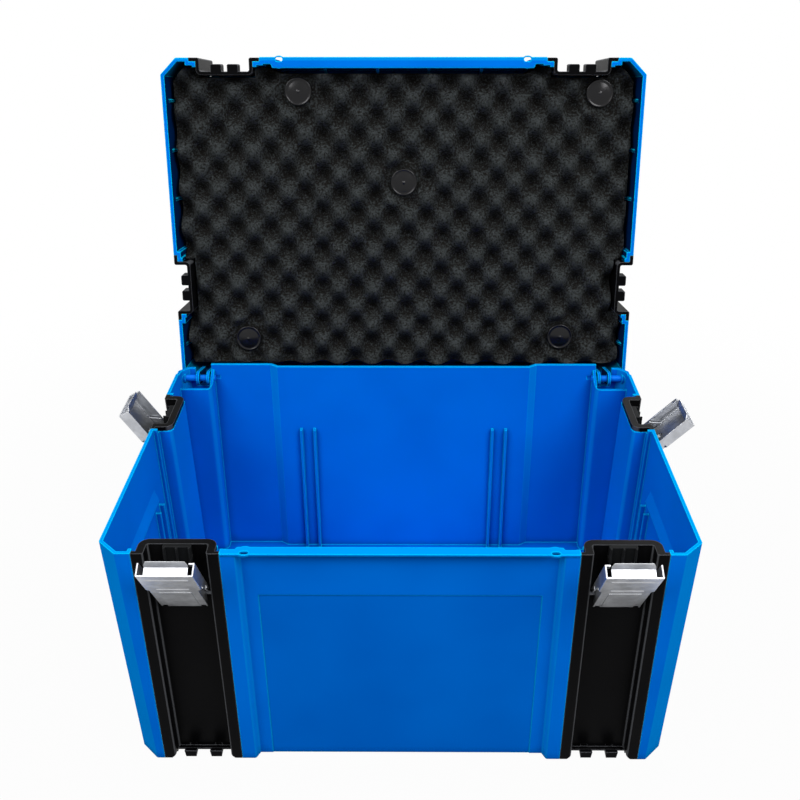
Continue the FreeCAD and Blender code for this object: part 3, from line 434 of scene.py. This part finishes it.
def egg_crate_tree(material):
    """A sheet raised in two crossed waves, held down at the buttons, backed and cut to the pad's outline."""
    columns, rows = 270, 186
    bump_power, least_bump, uneven_share, uneven_scale = 0.85, 0.90, 0.20, 70.0
    tree, sizes = new_tree(
        "egg_crate_pad", ["Width", "Depth", "Falling X", "Falling Y", "Falling Start", "Rising X", "Rising Y",
                          "Rising Start", "Valley", "Relief", "Back", "Seat", "Held", "Free"],
        ["Blank", "Buttons"])
    flat = tree.node("GeometryNodeMeshGrid", {}, {"Size X": sizes.at("Width"), "Size Y": sizes.at("Depth"),
                                                  "Vertices X": columns, "Vertices Y": rows})
    x, y, _ = tree.node("GeometryNodeInputPosition").axes()
    flat_spot = tree.node("ShaderNodeCombineXYZ", {}, {0: x, 1: y})
    falling = tree.maths("COSINE", math.tau * (x / sizes.at("Falling X") + y / sizes.at("Falling Y"))
                         + sizes.at("Falling Start"))
    rising = tree.maths("COSINE", math.tau * (x / sizes.at("Rising X") - y / sizes.at("Rising Y"))
                        + sizes.at("Rising Start"))
    uneven = tree.node("ShaderNodeTexNoise", {}, {"Vector": flat_spot, "Scale": uneven_scale, "Detail": 2.0},
                       out="Fac")
    bump = tree.maths("POWER", 0.5 + 0.25 * (falling + rising), bump_power)
    crest = tree.maths("MINIMUM", bump * (least_bump + uneven_share * uneven), 1.0)
    dots = tree.node("GeometryNodeObjectInfo", {}, {"Object": sizes.at("Buttons")}, out="Geometry")
    near = tree.node("GeometryNodeProximity", {"target_element": "POINTS"},
                     {0: dots, "Sample Position": flat_spot}, out="Distance")
    free = near.step(sizes.at("Held"), sizes.at("Free"))
    level = free * crest + (1.0 - free) * sizes.at("Seat")
    height = sizes.at("Valley") - sizes.at("Relief") * level
    raised = tree.node("GeometryNodeSetPosition", {}, {
        "Geometry": flat, "Position": tree.node("ShaderNodeCombineXYZ", {}, {0: x, 1: y, 2: height})})
    skin = tree.node("GeometryNodeFlipFaces", {}, {0: raised})
    grown_back = tree.node("GeometryNodeExtrudeMesh", {}, {"Mesh": raised, "Individual": False,
                                                           "Offset Scale": 0.0001})
    backed = tree.node("GeometryNodeSetPosition", {}, {
        "Geometry": grown_back, "Selection": grown_back.at("Top"),
        "Position": tree.node("ShaderNodeCombineXYZ", {}, {0: x, 1: y, 2: sizes.at("Back")})})
    joined = tree.node("GeometryNodeJoinGeometry", {}, {0: [skin, backed]})
    welded = tree.node("GeometryNodeMergeByDistance", {}, {0: joined, "Distance": 0.00001})
    blank = tree.node("GeometryNodeObjectInfo", {}, {"Object": sizes.at("Blank")}, out="Geometry")
    cut = tree.node("GeometryNodeMeshBoolean", {"operation": "INTERSECT", "solver": "EXACT"},
                    {1: [welded, blank]})
    stored = tree.node("GeometryNodeStoreNamedAttribute", {"data_type": "FLOAT", "domain": "POINT"},
                       {"Geometry": cut, "Name": "crest", "Value": level})
    shaded = tree.node("GeometryNodeSetShadeSmooth", {}, {0: stored})
    real = tree.node("GeometryNodeRealizeInstances", {}, {0: shaded})
    painted = tree.node("GeometryNodeSetMaterial", {}, {"Geometry": real, "Material": material})
    tree.node("NodeGroupOutput", {}, {0: painted})
    return tree.tree


right_half = pad_right_half()
pad_blank = prism("pad_blank", right_half + [(-x, y) for x, y in reversed(right_half)], pad_low, pad_high)
places_mesh = bpy.data.meshes.new("button_places")
places_mesh.from_pydata([(x, y, 0.0) for x, y in button_places], [], [])
places = link("button_places", places_mesh)
foam = grown("egg_crate_foam", egg_crate_tree(foam_finish()), {
    "Width": 0.3956, "Depth": 0.2716, "Falling X": 0.0307, "Falling Y": 0.0313, "Falling Start": 0.715,
    "Rising X": 0.0286, "Rising Y": 0.0335, "Rising Start": 3.631, "Valley": 0.212, "Relief": 0.016,
    "Back": 0.2305, "Seat": 0.40, "Held": 0.0115, "Free": 0.0220, "Blank": pad_blank, "Buttons": places})
foam.data.transform(swing)
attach(foam, "lid")
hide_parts("foam_pad")
bpy.data.objects.remove(pad_blank)

# Foam buttons: black push-in nylon studs with a thin raised rim and a shallow dome, moulded smooth.
# Each stem snaps into a post of the lid behind the foam.
# The pale grey edge colour is a painted highlight on the studs' rims, mixed with some scuffed wear.
button_nylon = moulded("button_nylon", deep=srgb(9, 9, 10), pale=srgb(13, 13, 14), edge_highlight=srgb(120, 122, 126),
                       edge_highlight_share=0.5, roughness=0.20, grain_size=0.0006, grain_depth=0.00003, radius=0.0004,
                       gloss_tint=(0.9, 0.9, 0.92, 1.0), gloss_level=0.28)
# Radius and height of the stud's outline, from the gate mark in its dome over the rim to its stem's end.
stud_gate = [(0.0, 0.2009), (0.0007, 0.20095), (0.001, 0.2013)]
stud_dome = [(0.0022, 0.20135), (0.0052, 0.20175), (0.0083, 0.2024), (0.0096, 0.20275)]
stud_rim = [(0.0100, 0.20235), (0.0107, 0.20225), (0.0112, 0.20255), (0.0113, 0.2032), (0.01125, 0.2051),
            (0.0109, 0.2055)]
stud_stem = [(0.0040, 0.2055), (0.0040, 0.2360), (0.0034, 0.2367), (0.0, 0.2367)]
stud_sides = 48


def turned(name, outline, sides):
    """A smooth solid turned about the upright axis."""
    form = bmesh.new()
    ring = [form.verts.new((r, 0.0, z)) for r, z in outline]
    for a, b in zip(ring, ring[1:]):
        form.edges.new((a, b))
    bmesh.ops.spin(form, geom=form.verts[:] + form.edges[:], cent=(0, 0, 0), axis=(0, 0, 1), angle=math.tau,
                   steps=sides)
    bmesh.ops.remove_doubles(form, verts=form.verts, dist=0.000005)
    bmesh.ops.recalc_face_normals(form, faces=form.faces)
    mesh = bpy.data.meshes.new(name)
    form.to_mesh(mesh)
    form.free()
    mesh.shade_smooth()
    return link(name, mesh)


def studs_tree(material):
    """One stud at each of the button places."""
    tree, sizes = new_tree("studs_in_foam", [], ["Stud", "Places"])
    dots = tree.node("GeometryNodeObjectInfo", {}, {"Object": sizes.at("Places")}, out="Geometry")
    points = tree.node("GeometryNodeMeshToPoints", {}, {0: dots})
    one = tree.node("GeometryNodeObjectInfo", {}, {"Object": sizes.at("Stud"), "As Instance": True},
                    out="Geometry")
    spread = tree.node("GeometryNodeInstanceOnPoints", {}, {"Points": points, "Instance": one})
    real = tree.node("GeometryNodeRealizeInstances", {}, {0: spread})
    painted = tree.node("GeometryNodeSetMaterial", {}, {"Geometry": real, "Material": material})
    tree.node("NodeGroupOutput", {}, {0: painted})
    return tree.tree


stud = turned("stud", stud_gate + stud_dome + stud_rim + stud_stem, stud_sides)
studs = grown("foam_studs", studs_tree(button_nylon), {"Stud": stud, "Places": places})
studs.data.transform(swing)
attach(studs, "lid")
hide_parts("foam_buttons")
bpy.data.objects.remove(stud)
bpy.data.objects.remove(places)


# Floor: a plain white studio sweep, a flat sheet of paper much larger than the case.
# It reads as white, and keeps a soft shadow close round the case that fades out with distance.
def seen_directly(sheet):
    """1 on rays that show the white itself, straight or in a reflection, and 0 on those that carry light."""
    path = sheet.node("ShaderNodeLightPath", out="Is Camera Ray")
    mirrored = sheet.maths("MAXIMUM", path, path.at("Is Glossy Ray"))
    return sheet.maths("MAXIMUM", mirrored, path.at("Is Transmission Ray"))


white = (1.0, 1.0, 1.0, 1.0)
paper_grey = (0.22, 0.22, 0.22, 1.0)
shadow_share, shadow_from, shadow_to = 0.03, 0.35, 0.9
form = bmesh.new()
bmesh.ops.create_grid(form, x_segments=8, y_segments=8, size=12.0)
floor_mesh = bpy.data.meshes.new("studio_floor")
form.to_mesh(floor_mesh)
form.free()
floor_material, sheet, place = finish_for("white_sweep")
away = sheet.node("ShaderNodeVectorMath", {"operation": "LENGTH"}, {0: place}, out="Value")
glow_share = 1.0 - shadow_share + shadow_share * away.step(shadow_from, shadow_to)
paper = sheet.node("ShaderNodeBsdfDiffuse", {}, {"Color": paper_grey})
glow = sheet.node("ShaderNodeEmission", {}, {"Color": white, "Strength": 1.0})
both = sheet.node("ShaderNodeMixShader", {}, {0: seen_directly(sheet) * glow_share, 1: paper, 2: glow})
sheet.node("ShaderNodeOutputMaterial", {}, {"Surface": both})
floor_mesh.materials.append(floor_material)
floor = link("studio_floor", floor_mesh)

# Light: a white surround that lights weakly, and four broad soft boxes of plain white light.
# Two stand high at the front, one is overhead, and one behind keeps the back of the lid from going dark.
world = bpy.data.worlds.new("white_studio")
bpy.context.scene.world = world
world.use_nodes = True
world.node_tree.nodes.clear()
sheet = Wire(world.node_tree)
surround = sheet.node("ShaderNodeBackground", {}, {"Color": white, "Strength": 0.25})
backdrop = sheet.node("ShaderNodeBackground", {}, {"Color": white, "Strength": 1.0})
both = sheet.node("ShaderNodeMixShader", {}, {0: seen_directly(sheet), 1: surround, 2: backdrop})
sheet.node("ShaderNodeOutputWorld", {}, {"Surface": both})


def soft_box(name, place, target, side, power):
    """A square lamp of this side in metres, which points at the target."""
    lamp = bpy.data.lights.new(name, "AREA")
    lamp.shape = "RECTANGLE"
    lamp.size = side
    lamp.size_y = side
    lamp.energy = power
    box = link(name, lamp)
    box.location = place
    box.rotation_euler = (Vector(target) - Vector(place)).to_track_quat("-Z", "Y").to_euler()


case_middle = (0.0, 0.0, 0.15)
soft_box("right_box", (1.0, -1.0, 1.6), case_middle, side=1.0, power=30.0)
soft_box("left_box", (-1.1, -1.0, 1.5), case_middle, side=1.0, power=24.0)
soft_box("back_box", (0.3, 1.5, 1.5), (0.0, 0.1, 0.2), side=1.2, power=22.0)
soft_box("top_box", (0.0, -0.1, 2.2), (0.0, 0.0, 0.0), side=1.6, power=16.0)

# Camera: a normal lens on a stand a little higher than the open lid, close in front of the case.
# It looks down into the tub, and its small shift places the case in the frame as photographed.
camera_pan, camera_tilt, camera_roll = (math.radians(turn) for turn in (0.357, 61.668, -0.068))
lens = bpy.data.cameras.new("studio_camera")
lens.sensor_width = 36.0
lens.lens = 44.964
lens.shift_x = -0.00806
camera = link("studio_camera", lens)
camera.location = (0.00759, -0.65642, 0.5819)
camera.rotation_euler = (Matrix.Rotation(camera_pan, 3, "Z") @ Matrix.Rotation(camera_tilt, 3, "X")
                         @ Matrix.Rotation(camera_roll, 3, "Z")).to_euler()
bpy.context.scene.camera = camera
bpy.context.scene.view_settings.view_transform = "Standard"
